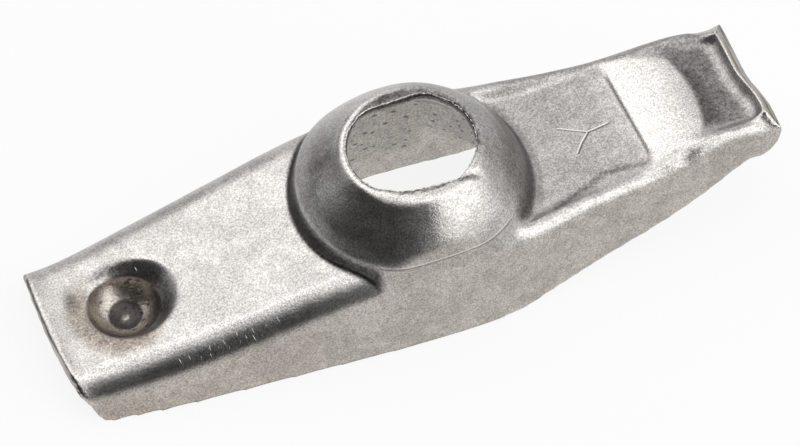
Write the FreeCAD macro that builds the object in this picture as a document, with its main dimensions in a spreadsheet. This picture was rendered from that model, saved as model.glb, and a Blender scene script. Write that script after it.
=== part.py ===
"""Pressed-steel rocker arm for a ball-pivot valve gear, lying on the edges of its flanges.

Frame, in millimetres: X runs along the arm from the pushrod socket (low end, -X) to the valve pad
(high end, +X), Y is across the arm and Z points up out of the domed side. The origin is on the
plane of the flange edges, below the point where the dome's axis crosses the plane of its rim.

The arm is one sheet folded to a channel with its open side down. Its skin is lofted through
stations along the arm, sunk to a trough towards the valve end, and carries the domed hub of the
fulcrum seat. The inside is then cut out one sheet thickness under the skin.
"""

import FreeCAD, Part
import math
import os

import Sketcher
from FreeCAD import Placement, Rotation, Vector

DOC = FreeCAD.newDocument("RockerArm")
SIZES = DOC.addObject("Spreadsheet::Sheet", "Sizes")


def put(name, size):
    """Write one driving dimension into the next row of the sheet, under its own alias."""
    put.row += 1
    SIZES.set(f"A{put.row}", name.replace("_", " "))
    SIZES.set(f"B{put.row}", str(size))
    SIZES.setAlias(f"B{put.row}", name)


put.row = 0

LENGTHS_AND_ANGLES = {
    # The sheet and its folds
    "sheet_thickness": 2.2,
    "blank_margin": 3.0,
    "bend_radius": 3.7,
    "shoulder_radius": 2.6,
    # The side view: feet of the flanges, their sweep up to the valve end, and the curled tip
    "socket_reach": 40.8,
    "socket_rake": 3.3,
    "socket_rake_height": 3.4,
    "foot_reach": 2.0,
    "foot_sweep": 70.0,
    "sweep_setback": 7.3,
    "tip_hollow": 14.0,
    "tip_foot_setback": 2.2,
    "tip_foot_height": 9.1,
    "tip_nose": 3.4,
    "valve_reach": 39.8,
    "tip_face_height": 12.7,
    "tip_face_rise": 5.0,
    "tip_curl": 40.0,
    "trim_allowance": 0.5,
    # The domed hub, its ball seat and the stud slot
    "press_tilt": 2.0,
    "hub_height": 13.25,
    "hub_root": 6.0,
    "hub_flare": 1.1,
    "hub_flare_depth": 2.8,
    "hub_flat_step": 0.27,
    "dome_height": 5.2,
    "dome_lip_radius": 7.1,
    "dome_lip_roll": 0.9,
    "dome_lip_turn": 44.0,
    "dome_flank_bulge": 36.0,
    "seat_radius": 10.6,
    "seat_turn": 70.6,
    "seat_wall": 2.1,
    "slot_length": 13.6,
    "slot_width": 11.6,
    "slot_end_radius": 6.3,
    "slot_corner_radius": 3.0,
    "slot_land": 1.4,
    # The pushrod socket
    "socket_ball_radius": 4.2,
    "socket_rim_radius": 3.9,
    "socket_sink": 0.75,
    "socket_dish_height": 3.0,
    "socket_dish_slope": 42.0,
    "socket_wall": 1.4,
    # The trough of the valve arm and the pad coined into its floor
    "trough_fillet": 1.6,
    "trough_slope": 45.0,
    "pad_width": 14.4,
    "pad_step": 0.35,
    "pad_ridge_step": 0.15,
    "pad_crown": 22.0,
}

# Stations along the skin: half width at the bends, half width at the feet, and height of the web
# or, beyond the hub, of the shoulders
STATIONS = {
    "end": (9.3, 9.8, 5.1),
    "socket": (10.05, 10.7, 5.8),
    "low_arm": (10.6, 11.15, 7.15),
    "low_waist": (11.0, 11.45, 8.75),
    "low_neck": (11.4, 11.8, 10.55),
    "low_hub": (11.75, 12.15, 11.9),
    "hub": (11.85, 12.35, 12.4),
    "high_hub": (11.5, 12.1, 12.2),
    "high_neck": (10.8, 11.4, 12.0),
    "high_arm": (9.75, 10.4, 12.3),
    "pad_foot": (9.0, 9.65, 12.7),
    "pad_ridge": (8.2, 8.95, 14.2),
    "valley": (7.9, 8.65, 14.1),
    "tip": (7.6, 8.4, 15.4),
}

# Where the stations between the two ends stand along the arm
PLACES = {
    "socket": -32.1,
    "low_arm": -26.0,
    "low_waist": -20.0,
    "low_neck": -13.5,
    "low_hub": -7.0,
    "hub": 1.0,
    "high_hub": 7.0,
    "high_neck": 12.0,
    "high_arm": 17.5,
}

# How far the stations of the valve end stand back from it
SETBACKS = {
    "pad_foot": 14.5,
    "pad_ridge": 7.8,
    "valley": 4.4,
}

# Stations along the trough: height and half width of its floor
TROUGH_STATIONS = {
    "high_hub": (10.3, 7.2),
    "high_neck": (10.6, 7.1),
    "high_arm": (11.1, 6.7),
    "pad_foot": (12.0, 6.3),
    "pad_ridge": (13.2, 5.1),
    "valley": (12.8, 4.8),
    "tip": (15.0, 4.8),
}
for size_name, size_value in LENGTHS_AND_ANGLES.items():
    put(size_name, size_value)
for station, place in PLACES.items():
    put(f"{station}_place", place)
for station, setback in SETBACKS.items():
    put(f"{station}_setback", setback)
for station, (half_width, foot_half_width, top) in STATIONS.items():
    put(f"{station}_half_width", half_width)
    put(f"{station}_foot_half_width", foot_half_width)
    put(f"{station}_top", top)
for station, (floor, half_width) in TROUGH_STATIONS.items():
    put(f"{station}_floor", floor)
    put(f"{station}_floor_half_width", half_width)

DOC.recompute()


def number(expression):
    """The present value of an expression over the sheet."""
    return float(SIZES.evalExpression(expression))


def origin_plane(body, role):
    """One of the three planes of a body's own origin."""
    return next(item for item in body.Origin.OriginFeatures if item.Role == role)


def new_sketch(body, name, role, shift=("0", "0", "0"), turn=None):
    """A sketch on a plane of the body's origin, moved by expressions in that plane's own axes."""
    sketch = body.newObject("Sketcher::SketchObject", name)
    sketch.AttachmentSupport = [(origin_plane(body, role), "")]
    sketch.MapMode = "FlatFace"
    angle = number(turn) if turn else 0.0
    base = Vector(*(number(item) for item in shift))
    sketch.AttachmentOffset = Placement(base, Rotation(Vector(0, 0, 1), angle))
    for axis, item in zip("xyz", shift):
        if item != "0":
            sketch.setExpression(f"AttachmentOffset.Base.{axis}", item)
    if turn:
        sketch.setExpression("AttachmentOffset.Rotation.Angle", turn)
    return sketch


def arc_centre(start, end, radius, turn):
    """Centre of the arc from start to end, counter-clockwise for a turn of 1."""
    chord = end.sub(start)
    middle = start.add(chord.multiply(0.5))
    half = chord.Length
    rise = math.sqrt(max(radius * radius - half * half, 0.0))
    side = Vector(-chord.y, chord.x, 0).normalize()
    return middle.add(side.multiply(rise * turn))


def draw_outline(sketch, corners):
    """Close an outline through corners given as (x, y, bend).

    x and y are expressions. bend is None for a straight run to the next corner, or a pair
    (radius expression, turn) for an arc of less than half a circle, turn 1 being
    counter-clockwise. Every corner is dimensioned from the sketch's origin.
    """
    points = [Vector(number(x), number(y), 0) for x, y, _ in corners]
    pieces = []
    for index, (_, _, bend) in enumerate(corners):
        start = points[index]
        end = points[(index + 1) % len(points)]
        if bend is None:
            geo = sketch.addGeometry(Part.LineSegment(start, end), False)
            pieces.append((geo, 1, 2))
            continue
        radius, turn = bend
        centre = arc_centre(start, end, number(radius), turn)
        circle = Part.Circle(centre, Vector(0, 0, 1), number(radius))
        first, last = (start, end) if turn > 0 else (end, start)
        angle_first = math.atan2(first.y - centre.y, first.x - centre.x)
        angle_last = math.atan2(last.y - centre.y, last.x - centre.x)
        if angle_last < angle_first:
            angle_last += 2 * math.pi
        geo = sketch.addGeometry(Part.ArcOfCircle(circle, angle_first, angle_last), False)
        pieces.append((geo, 1, 2) if turn > 0 else (geo, 2, 1))
        rule = sketch.addConstraint(Sketcher.Constraint("Radius", geo, number(radius)))
        sketch.setExpression(f"Constraints[{rule}]", radius)
    for index, (geo, begin, finish) in enumerate(pieces):
        after, after_begin, _ = pieces[(index + 1) % len(pieces)]
        sketch.addConstraint(Sketcher.Constraint("Coincident", geo, finish, after, after_begin))
        x, y, _ = corners[index]
        for kind, item in (("DistanceX", x), ("DistanceY", y)):
            rule = sketch.addConstraint(
                Sketcher.Constraint(kind, -1, 1, geo, begin, number(item))
            )
            sketch.setExpression(f"Constraints[{rule}]", item)
    return sketch


def mirrored(half):
    """Corners of a section from its right half, read from the foot up to the middle."""
    right = list(half)
    left = []
    for index in range(len(right) - 1, -1, -1):
        x, y, _ = right[index]
        bend = right[index - 1][2] if index > 0 else None
        left.append((f"-({x})", y, bend))
    return right + left


def place_of(station):
    """Where a station stands along the arm; the outer two stand just past the trimmed ends."""
    if station == "end":
        return "-(Sizes.socket_reach + Sizes.trim_allowance)"
    if station == "tip":
        return "(Sizes.valve_reach + Sizes.trim_allowance)"
    if station in SETBACKS:
        return f"(Sizes.valve_reach - Sizes.{station}_setback)"
    return f"Sizes.{station}_place"


def lean_of(station):
    """How far a flange stands out for each unit that it comes down."""
    run = f"(Sizes.{station}_foot_half_width - Sizes.{station}_half_width)"
    return f"({run} / (Sizes.{station}_top - Sizes.bend_radius))"


def skin_section(body, station, foot, inset=None):
    """Section of the channel at a station, or of its inside where an inset is given.

    The inside follows the web, or the floor of the trough where the arm has one.
    """
    sunk = station in TROUGH_STATIONS
    name = f"{'Inside' if inset else 'Skin'}_{station}"
    bend = "Sizes.shoulder_radius" if sunk and not inset else "Sizes.bend_radius"
    level = "floor" if sunk and inset else "top"
    step = inset or "0"
    radius = f"({bend} - {step})"
    width = f"(Sizes.{station}_half_width - {step})"
    top = f"(Sizes.{station}_{level} - {step})"
    sketch = new_sketch(body, name, "YZ_Plane", ("0", "0", place_of(station)))
    half = [
        (f"{width} + {lean_of(station)} * ({top} - {radius} - {foot})", foot, None),
        (width, f"{top} - {radius}", (radius, 1)),
        (f"{width} - {radius}", top, None),
    ]
    return draw_outline(sketch, mirrored(half))


def trough_section(body, station, ceiling):
    """Section of the trough at a station: flat floor, fillets and sloping sides."""
    floor = f"Sizes.{station}_floor"
    width = f"Sizes.{station}_floor_half_width"
    fillet = "Sizes.trough_fillet"
    slope = "Sizes.trough_slope"
    side = f"({width} + {fillet} * sin({slope} * 1deg))"
    rise = f"({floor} + {fillet} * (1 - cos({slope} * 1deg)))"
    sketch = new_sketch(body, f"Trough_{station}", "YZ_Plane", ("0", "0", place_of(station)))
    half = [
        (width, floor, (fillet, 1)),
        (side, rise, None),
        (f"{side} + ({ceiling} - {rise}) / tan({slope} * 1deg)", ceiling, None),
    ]
    return draw_outline(sketch, mirrored(half))


def loft(body, kind, name, sections):
    """A loft through sketches in a row."""
    feature = body.newObject(f"PartDesign::{kind}", name)
    feature.Profile = sections[0]
    feature.Sections = sections[1:]
    feature.Ruled = False
    DOC.recompute()
    return feature


def turned(body, kind, name, sketch):
    """A full turn of a profile about the vertical axis of its sketch."""
    feature = body.newObject(f"PartDesign::{kind}", name)
    feature.Profile = sketch
    feature.ReferenceAxis = (sketch, ["V_Axis"])
    feature.Angle = 360.0
    DOC.recompute()
    return feature


def across(body, kind, name, sketch, width):
    """A pad or pocket of a side profile, half of its width to each side."""
    feature = body.newObject(f"PartDesign::{kind}", name)
    feature.Profile = sketch
    if hasattr(feature, "SideType"):
        feature.SideType = "Symmetric"
    else:
        feature.Midplane = True
    feature.Length = number(width)
    feature.setExpression("Length", width)
    DOC.recompute()
    return feature


def report(feature):
    """Print what a feature left of the solid."""
    shape = feature.Shape
    box = shape.BoundBox
    print(f"{feature.Name}: {len(shape.Solids)} solid, {shape.Volume:.1f} mm3, {feature.State}, "
          f"valid {shape.isValid()}, x {box.XMin:.2f} {box.XMax:.2f}, y {box.YMax:.2f}, "
          f"z {box.ZMin:.2f} {box.ZMax:.2f}")


ARM = DOC.addObject("PartDesign::Body", "rocker_arm")
ARM.Label = "rocker_arm"

SKIN = loft(ARM, "AdditiveLoft", "Skin",
            [skin_section(ARM, station, "-Sizes.blank_margin") for station in STATIONS])
report(SKIN)

TROUGH = loft(ARM, "SubtractiveLoft", "Trough",
              [trough_section(ARM, station, "Sizes.tip_top + 2 * Sizes.blank_margin")
               for station in TROUGH_STATIONS])
report(TROUGH)

# The hub: a short wall that flares out to its foot, then the dome's flank and rolled lip,
# flattened at both sides to stand in line with the flanges. Its radius is that of the ball seat's
# bore and one wall more
UPRIGHT = ("0", "Sizes.hub_height", "0")
LIP_ROLL = "Sizes.dome_lip_roll"
SEAT_BORE = "(Sizes.seat_radius * sin(Sizes.seat_turn * 1deg))"
HUB_RADIUS = f"({SEAT_BORE} + Sizes.seat_wall)"
HUB_FOOT = f"({HUB_RADIUS} + Sizes.hub_flare)"
BLANK = DOC.addObject("PartDesign::Body", "Hub_blank")
HUB_PROFILE = draw_outline(
    new_sketch(BLANK, "Hub_profile", "XZ_Plane", UPRIGHT, "Sizes.press_tilt"),
    [
        ("0", "-Sizes.hub_root", None),
        (HUB_FOOT, "-Sizes.hub_root", None),
        (HUB_FOOT, "-Sizes.hub_flare_depth", None),
        (HUB_RADIUS, "0", ("Sizes.dome_flank_bulge", 1)),
        (f"Sizes.dome_lip_radius + {LIP_ROLL} * sin(Sizes.dome_lip_turn * 1deg)",
         f"Sizes.dome_height - {LIP_ROLL} * (1 - cos(Sizes.dome_lip_turn * 1deg))",
         (LIP_ROLL, 1)),
        ("Sizes.dome_lip_radius", "Sizes.dome_height", None),
        ("0", "Sizes.dome_height", None),
    ],
)
report(turned(BLANK, "Revolution", "Dome", HUB_PROFILE))
ABOVE_DOME = "(Sizes.hub_height + 2 * Sizes.dome_height)"
HUB_LEAN = lean_of("hub")
HUB_FLAT = "(Sizes.hub_foot_half_width - Sizes.hub_flat_step)"
FLATS = new_sketch(BLANK, "Hub_flats", "YZ_Plane")
for side in ("", "-"):
    draw_outline(FLATS, [
        (f"{side}{HUB_FLAT}", "0", None),
        (f"{side}({HUB_FLAT} - {HUB_LEAN} * {ABOVE_DOME})", ABOVE_DOME, None),
        (f"{side}2 * {HUB_FOOT}", ABOVE_DOME, None),
        (f"{side}2 * {HUB_FOOT}", "0", None),
    ])
report(across(BLANK, "Pocket", "Flats", FLATS, f"4 * {HUB_FOOT}"))
HUB = ARM.newObject("PartDesign::Boolean", "Hub")
HUB.Type = "Fuse"
HUB.setObjects([BLANK])
DOC.recompute()
report(HUB)

# The inside of the channel, one sheet thickness under the skin
CHANNEL = loft(ARM, "SubtractiveLoft", "Channel",
               [skin_section(ARM, station, "-2 * Sizes.blank_margin", "Sizes.sheet_thickness")
                for station in STATIONS])
report(CHANNEL)

# The fulcrum seat inside the dome, a ball's bowl that ends under the land of the stud slot
SEAT_TOP = "(Sizes.dome_height - Sizes.slot_land)"
SEAT_REACH = "(Sizes.slot_length / 2)"
SEAT_CENTRE = f"({SEAT_TOP} - sqrt(Sizes.seat_radius ^ 2 - {SEAT_REACH} ^ 2))"
UNDER_FEET = "-(Sizes.hub_height + Sizes.blank_margin)"
SEAT_PROFILE = draw_outline(
    new_sketch(ARM, "Seat_profile", "XZ_Plane", UPRIGHT, "Sizes.press_tilt"),
    [
        ("0", UNDER_FEET, None),
        (SEAT_BORE, UNDER_FEET, None),
        (SEAT_BORE, f"{SEAT_CENTRE} + Sizes.seat_radius * cos(Sizes.seat_turn * 1deg)",
         ("Sizes.seat_radius", 1)),
        (SEAT_REACH, SEAT_TOP, None),
        ("0", SEAT_TOP, None),
    ],
)
SEAT = turned(ARM, "Groove", "Seat", SEAT_PROFILE)
report(SEAT)

# The pushrod socket: the bulge it pushes out under the web, then the ball cup and its dish
SOCKET_SPOT = ("Sizes.socket_place", "Sizes.socket_top", "0")
BALL_CENTRE = ("(sqrt(Sizes.socket_ball_radius ^ 2 - Sizes.socket_rim_radius ^ 2)"
               " - Sizes.socket_sink)")
BULGE_RADIUS = "(Sizes.socket_ball_radius + Sizes.socket_wall)"
BULGE_TOP = "(-Sizes.sheet_thickness / 2)"
BULGE_PROFILE = draw_outline(
    new_sketch(ARM, "Bulge_profile", "XZ_Plane", SOCKET_SPOT, "Sizes.press_tilt"),
    [
        ("0", f"{BALL_CENTRE} - {BULGE_RADIUS}", (BULGE_RADIUS, 1)),
        (f"sqrt({BULGE_RADIUS} ^ 2 - ({BULGE_TOP} - {BALL_CENTRE}) ^ 2)", BULGE_TOP, None),
        ("0", BULGE_TOP, None),
    ],
)
BULGE = turned(ARM, "Revolution", "Bulge", BULGE_PROFILE)
report(BULGE)

DISH_RUN = "(Sizes.socket_dish_height / tan(Sizes.socket_dish_slope * 1deg))"
CUP_PROFILE = draw_outline(
    new_sketch(ARM, "Cup_profile", "XZ_Plane", SOCKET_SPOT, "Sizes.press_tilt"),
    [
        ("0", f"{BALL_CENTRE} - Sizes.socket_ball_radius", ("Sizes.socket_ball_radius", 1)),
        ("Sizes.socket_rim_radius", "-Sizes.socket_sink", None),
        (f"Sizes.socket_rim_radius + {DISH_RUN}", "Sizes.socket_dish_height - Sizes.socket_sink",
         None),
        ("0", "Sizes.socket_dish_height - Sizes.socket_sink", None),
    ],
)
CUP = turned(ARM, "Groove", "Cup", CUP_PROFILE)
report(CUP)

# The valve pad, coined a step above the trough's floor and running out at its ridge
PAD_DEPTH = "(Sizes.sheet_thickness / 2)"
PAD_FOOT = place_of("pad_foot")
PAD_RIDGE = place_of("pad_ridge")
PAD_PROFILE = draw_outline(
    new_sketch(ARM, "Pad_profile", "XZ_Plane"),
    [
        (PAD_FOOT, f"Sizes.pad_foot_floor - {PAD_DEPTH}", None),
        (PAD_RIDGE, f"Sizes.pad_ridge_floor - {PAD_DEPTH}", None),
        (PAD_RIDGE, "Sizes.pad_ridge_floor + Sizes.pad_ridge_step", ("Sizes.pad_crown", 1)),
        (PAD_FOOT, "Sizes.pad_foot_floor + Sizes.pad_step", None),
    ],
)
PAD = across(ARM, "Pad", "Valve_pad", PAD_PROFILE, "Sizes.pad_width")
report(PAD)

# The stud slot, square to the tilted dome
SLOT_SKETCH = ARM.newObject("Sketcher::SketchObject", "Slot_outline")
SLOT_SKETCH.AttachmentSupport = [(origin_plane(ARM, "XY_Plane"), "")]
SLOT_SKETCH.MapMode = "FlatFace"
SLOT_SKETCH.AttachmentOffset = Placement(Vector(0, 0, number("Sizes.hub_height")),
                                         Rotation(Vector(0, -1, 0), number("Sizes.press_tilt")))
SLOT_SKETCH.setExpression("AttachmentOffset.Base.z", "Sizes.hub_height")
SLOT_SKETCH.setExpression("AttachmentOffset.Rotation.Angle", "Sizes.press_tilt")
# Half of the slot: the end arc, the corner arc that touches it and the straight side
SLOT_SIDE = "(Sizes.slot_width / 2)"
SLOT_END = "Sizes.slot_end_radius"
SLOT_CORNER = "Sizes.slot_corner_radius"
SLOT_SHIFT = f"(Sizes.slot_length / 2 - {SLOT_END})"
CORNER_SHIFT = f"sqrt(({SLOT_END} - {SLOT_CORNER}) ^ 2 - ({SLOT_SIDE} - {SLOT_CORNER}) ^ 2)"
TOUCH_SHARE = f"({SLOT_END} / ({SLOT_END} - {SLOT_CORNER}))"
TOUCH_X = f"({SLOT_SHIFT} + {CORNER_SHIFT} * {TOUCH_SHARE})"
TOUCH_Y = f"(({SLOT_SIDE} - {SLOT_CORNER}) * {TOUCH_SHARE})"
STRAIGHT_END = f"({SLOT_SHIFT} + {CORNER_SHIFT})"
draw_outline(SLOT_SKETCH, [
    (TOUCH_X, f"-{TOUCH_Y}", (SLOT_END, 1)),
    (TOUCH_X, TOUCH_Y, (SLOT_CORNER, 1)),
    (STRAIGHT_END, SLOT_SIDE, None),
    (f"-{STRAIGHT_END}", SLOT_SIDE, (SLOT_CORNER, 1)),
    (f"-{TOUCH_X}", TOUCH_Y, (SLOT_END, 1)),
    (f"-{TOUCH_X}", f"-{TOUCH_Y}", (SLOT_CORNER, 1)),
    (f"-{STRAIGHT_END}", f"-{SLOT_SIDE}", None),
    (STRAIGHT_END, f"-{SLOT_SIDE}", (SLOT_CORNER, 1)),
])
SLOT = across(ARM, "Pocket", "Stud_slot", SLOT_SKETCH, "4 * Sizes.dome_height")
report(SLOT)

# The side outline of the arm: what lies outside it is cut off
SWEEP_END = "(Sizes.valve_reach - Sizes.sweep_setback)"
FOOT_END = ("(Sizes.foot_sweep - sqrt(Sizes.foot_sweep ^ 2"
            f" - ({SWEEP_END} - Sizes.foot_reach) ^ 2))")
TIP_TOP_PLACE = "(Sizes.valve_reach - Sizes.tip_face_rise * tan(Sizes.tip_curl * 1deg))"
BLANK_REACH = "(Sizes.socket_reach + Sizes.valve_reach)"
FAR_ABOVE = f"({ABOVE_DOME} + Sizes.blank_margin)"
FAR_BELOW = "-3 * Sizes.blank_margin"
SIDE = new_sketch(ARM, "Side_outline", "XZ_Plane")
draw_outline(SIDE, [
    (f"-{BLANK_REACH}", FAR_BELOW, None),
    (BLANK_REACH, FAR_BELOW, None),
    (BLANK_REACH, FAR_ABOVE, None),
    (f"-{BLANK_REACH}", FAR_ABOVE, None),
])
draw_outline(SIDE, [
    ("Sizes.socket_rake - Sizes.socket_reach", "0", None),
    ("Sizes.foot_reach", "0", ("Sizes.foot_sweep", 1)),
    (SWEEP_END, FOOT_END, ("Sizes.tip_hollow", -1)),
    ("Sizes.valve_reach - Sizes.tip_foot_setback", "Sizes.tip_foot_height", ("Sizes.tip_nose", 1)),
    ("Sizes.valve_reach", "Sizes.tip_face_height", None),
    (TIP_TOP_PLACE, "Sizes.tip_face_height + Sizes.tip_face_rise", None),
    (TIP_TOP_PLACE, ABOVE_DOME, None),
    ("-Sizes.socket_reach", ABOVE_DOME, None),
    ("-Sizes.socket_reach", "Sizes.socket_rake_height", None),
])
TRIM = across(ARM, "Pocket", "Side_trim", SIDE, f"6 * {HUB_FOOT}")
report(TRIM)

for item in DOC.Objects:
    if {"Invalid", "Error"} & set(item.State):
        raise RuntimeError(f"{item.Name} failed: {item.State}")
if ARM.Shape.isNull() or not ARM.Shape.isValid():
    raise RuntimeError("the arm's shape isn't valid")
os.makedirs("parts", exist_ok=True)
ARM.Shape.exportStep("parts/rocker_arm.step")
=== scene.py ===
"""Looks of a pressed-steel rocker arm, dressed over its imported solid.

Sizes are in millimetres in the part's own frame and are turned to metres where Blender needs them.
X runs from the pushrod socket to the valve pad, Y is across the arm and Z points out of the dome.
"""

import logging
import math
from dataclasses import dataclass, field
from enum import Enum
from typing import Sequence

import bmesh
import bpy
import numpy as np
from mathutils import Matrix, Vector, noise
from mathutils.bvhtree import BVHTree


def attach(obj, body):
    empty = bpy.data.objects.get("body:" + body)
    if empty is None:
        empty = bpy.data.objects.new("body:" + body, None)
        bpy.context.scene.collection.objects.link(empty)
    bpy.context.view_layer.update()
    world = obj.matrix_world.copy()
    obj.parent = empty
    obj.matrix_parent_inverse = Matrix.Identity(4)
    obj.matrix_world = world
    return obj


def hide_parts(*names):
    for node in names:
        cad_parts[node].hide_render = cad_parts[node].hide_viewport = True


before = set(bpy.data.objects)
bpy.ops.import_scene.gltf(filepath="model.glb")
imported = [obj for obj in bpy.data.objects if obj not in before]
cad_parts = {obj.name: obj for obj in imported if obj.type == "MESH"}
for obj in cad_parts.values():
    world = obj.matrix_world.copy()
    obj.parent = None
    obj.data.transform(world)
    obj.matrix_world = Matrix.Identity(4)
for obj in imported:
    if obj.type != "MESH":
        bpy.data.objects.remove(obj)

LOG = logging.getLogger("rocker_arm")
MM = 0.001
BODY = "root"
Spot = tuple[float, float]
Point = tuple[float, float, float]
Colour = tuple[float, float, float]
Socket = bpy.types.NodeSocket
WHITE = (1.0, 1.0, 1.0, 1.0)


class Mask(Enum):
    """Surface attributes that the finish and the scratches read."""

    SCALE_AND_PAINTED_SHADE = "scale_and_painted_shade"
    POLISH_AND_PAINTED_HIGHLIGHT = "polish_and_painted_highlight"
    WARM = "warm"
    PITS = "pits"
    CUT = "cut"
    TICKS = "ticks"


def smooth_step(values: np.ndarray, low: float, high: float) -> np.ndarray:
    """Ease values from 0 at low to 1 at high."""
    t = np.clip((values - low) / (high - low), 0.0, 1.0)
    return t * t * (3.0 - 2.0 * t)


def hump(values: np.ndarray, middle: float, reach: float) -> np.ndarray:
    """Ease values from 1 at middle down to 0 at reach on either side."""
    return 1.0 - smooth_step(np.abs(values - middle), 0.0, reach)


def between(values: np.ndarray, low: float, high: float, soft: float) -> np.ndarray:
    """Give 1 between low and high, easing to 0 over soft on either side."""
    return smooth_step(values, low - soft, low + soft) * smooth_step(-values, -high - soft, -high + soft)


def noise_at(points: np.ndarray, size: float, seed: float) -> np.ndarray:
    """Smooth noise between about -1 and 1.

    Args:
        points: Positions in millimetres, one row each.
        size: Width of the noise's lumps in millimetres.
        seed: Shift that gives each use its own pattern.

    Returns:
        One value for each row.
    """
    shift = Vector((seed, seed * 0.37, -seed))
    return np.array([noise.noise(Vector(p) + shift) for p in points / size])


def mesh_from_arrays(name: str, points: np.ndarray, faces: Sequence[Sequence[int]]) -> bpy.types.Mesh:
    """Make a mesh from points in metres and faces."""
    mesh = bpy.data.meshes.new(name)
    mesh.from_pydata([tuple(p) for p in points], [], [tuple(f) for f in faces])
    mesh.update()
    return mesh


def link_object(name: str, data: bpy.types.ID | None) -> bpy.types.Object:
    """Put a new object into the scene."""
    item = bpy.data.objects.new(name, data)
    bpy.context.scene.collection.objects.link(item)
    return item


def evaluated_mesh(item: bpy.types.Object) -> bpy.types.Mesh:
    """Return a plain mesh of an object with its modifiers applied."""
    graph = bpy.context.evaluated_depsgraph_get()
    graph.update()
    return bpy.data.meshes.new_from_object(item.evaluated_get(graph), depsgraph=graph)


def tree_of(mesh: bpy.types.Mesh) -> BVHTree:
    """A search tree over a mesh's faces."""
    work = bmesh.new()
    work.from_mesh(mesh)
    tree = BVHTree.FromBMesh(work)
    work.free()
    return tree


def direction(bearing: float, rise: float) -> Vector:
    """The way to a bearing, from +X towards +Y, and an elevation, both in degrees."""
    turn, up = math.radians(bearing), math.radians(rise)
    return Vector((math.cos(turn) * math.cos(up), math.sin(turn) * math.cos(up), math.sin(up)))


def point_array(mesh: bpy.types.Mesh) -> np.ndarray:
    """Positions of a mesh's points, one row each."""
    points = np.zeros(len(mesh.vertices) * 3)
    mesh.vertices.foreach_get("co", points)
    return points.reshape(-1, 3)


class Nodes:
    """A node tree with short calls to add and link nodes."""

    def __init__(self, tree: bpy.types.NodeTree) -> None:
        """Take a tree to build in."""
        self.tree = tree

    def node(self, kind: str, inputs: dict[str | int, object] | None = None,
             **settings: object) -> bpy.types.Node:
        """Add a node.

        Args:
            kind: The node's Blender type.
            inputs: Values or sockets for its inputs, by name or number.
            **settings: Properties of the node.

        Returns:
            The node.
        """
        item = self.tree.nodes.new(kind)
        for key, value in settings.items():
            setattr(item, key, value)
        for key, value in (inputs or {}).items():
            if isinstance(value, Socket):
                self.tree.links.new(value, item.inputs[key])
            else:
                item.inputs[key].default_value = value
        return item

    def maths(self, operation: str, first: object, second: object = 0.0) -> Socket:
        """A Math node's result."""
        return self.node("ShaderNodeMath", {0: first, 1: second}, operation=operation).outputs[0]

    def seen(self) -> Socket:
        """Give 1 to camera, glossy and transmission rays and 0 to all others."""
        path = self.node("ShaderNodeLightPath")
        seen = self.maths("MAXIMUM", path.outputs["Is Camera Ray"], path.outputs["Is Glossy Ray"])
        return self.maths("MAXIMUM", seen, path.outputs["Is Transmission Ray"])


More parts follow.
